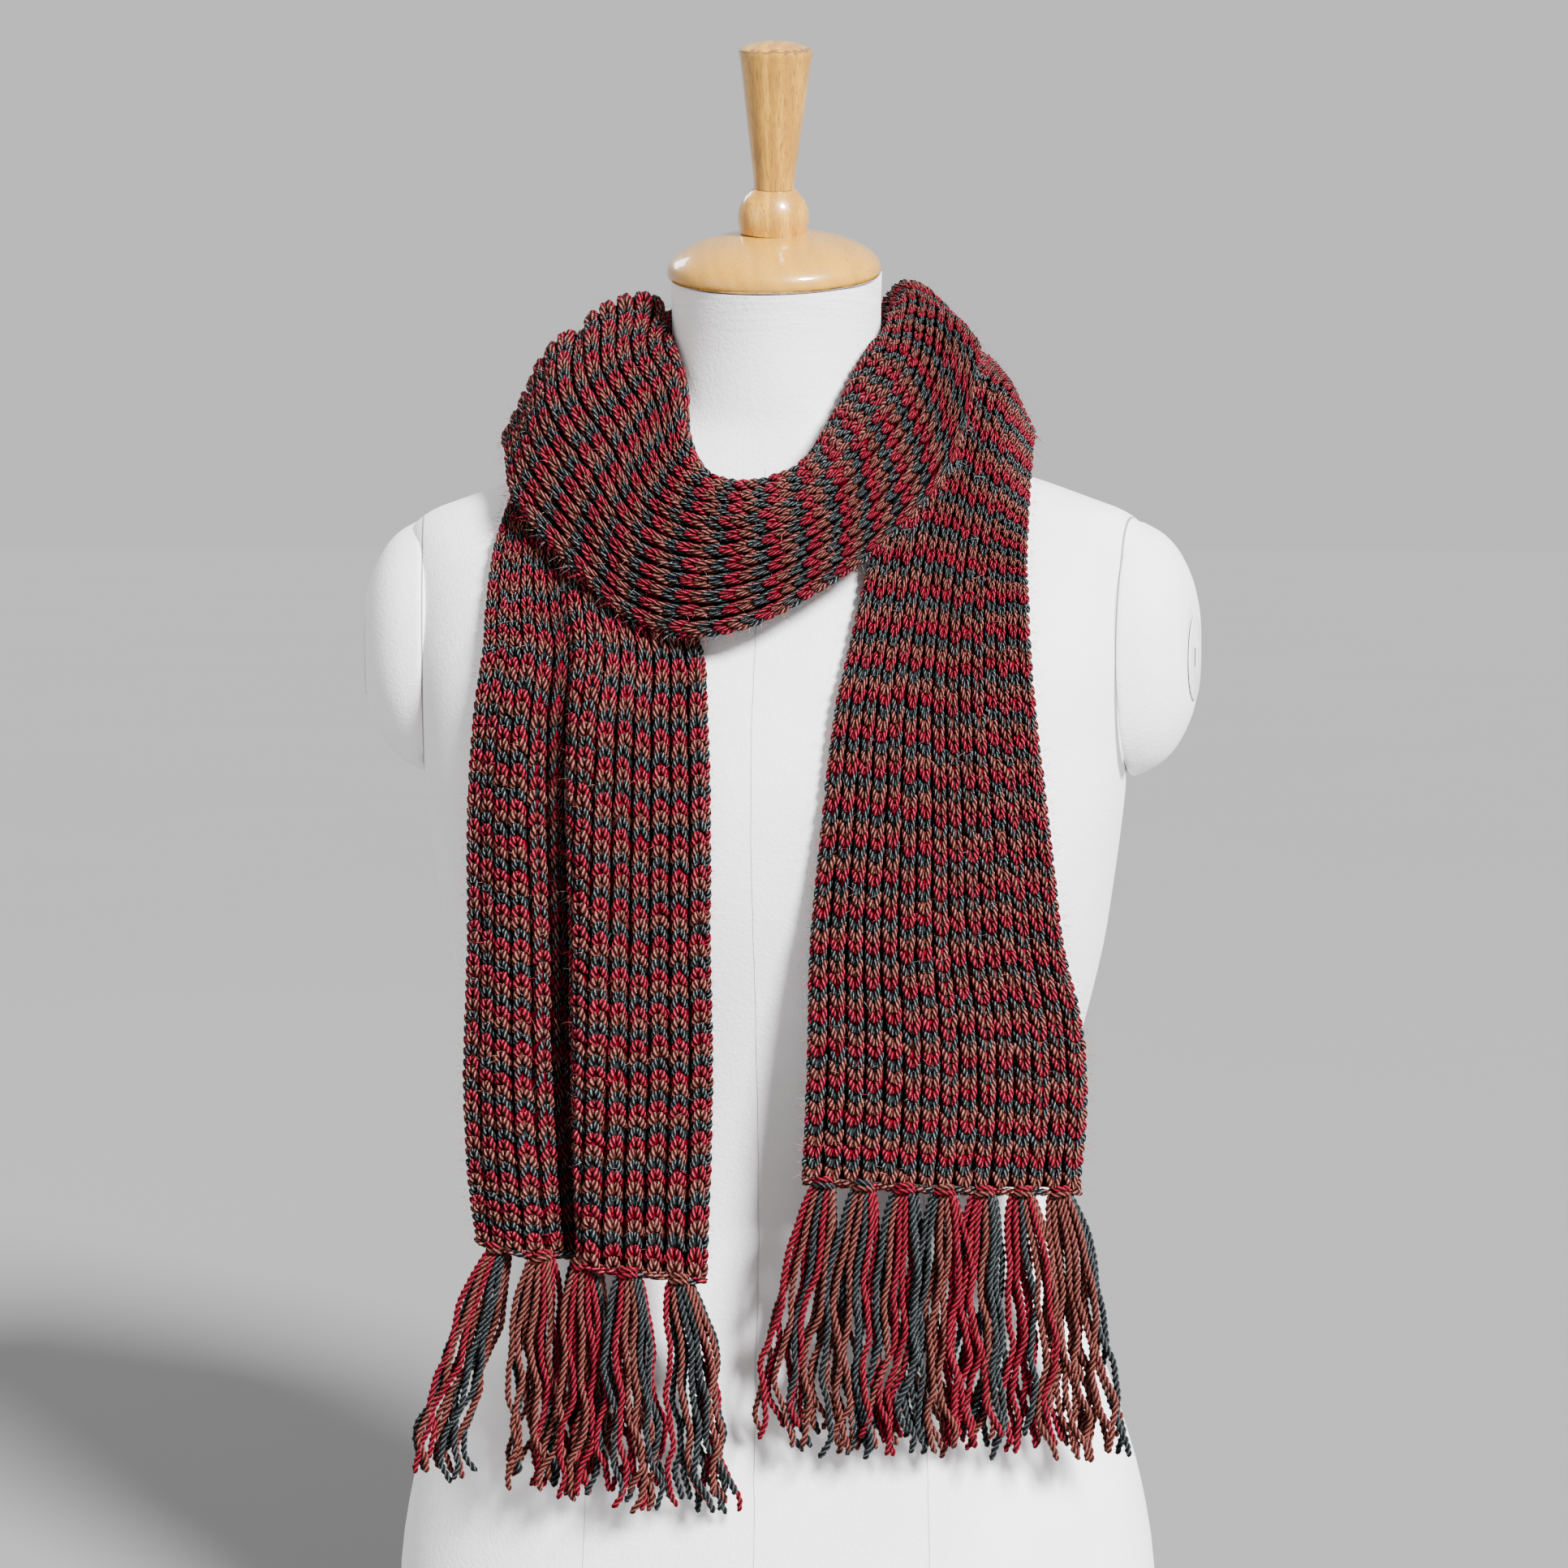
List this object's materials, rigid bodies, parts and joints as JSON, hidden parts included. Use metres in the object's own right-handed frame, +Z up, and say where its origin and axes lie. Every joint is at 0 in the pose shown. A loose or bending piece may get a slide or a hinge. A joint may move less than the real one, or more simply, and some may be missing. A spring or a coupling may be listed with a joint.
{
  "type": "knit scarf on dress form",
  "caption": "Chunky rib-knit striped scarf with fringed ends, wound once round the neck of a limbless dress form with a turned wood neck cap.",
  "frame": {"origin": "middle of the dress form's flat underside", "axes": "+Z up along the form, -Y the form's front, +X to the right of someone looking at its front"},
  "size_m": [0.4372, 0.2613, 0.8453],
  "materials": {
    "form_cloth": "taut off-white cotton jersey",
    "arm_plate": "matt white",
    "turned_wood": "clear gloss varnish on pale straight-grained wood",
    "rib_knit": "chunky rib knit in red, dusty rose and charcoal rows, slightly hairy",
    "fringe_yarn": "loose plied yarn in red, dusty rose and charcoal"
  },
  "bodies": {
    "root": {"form_torso": "form_cloth", "form_arm_cap_left": "form_cloth", "form_arm_cap_right": "form_cloth", "form_arm_plate_left": "arm_plate", "form_arm_plate_right": "arm_plate", "form_neck_cap": "turned_wood", "form_finial_ball": "turned_wood", "form_finial_handle": "turned_wood", "scarf_tail_left": "rib_knit", "scarf_back_inner": "rib_knit", "scarf_front_loop": "rib_knit", "scarf_back_outer": "rib_knit", "scarf_tail_right": "rib_knit", "fringe_left": "fringe_yarn", "fringe_right": "fringe_yarn"}
  },
  "joints": []
}
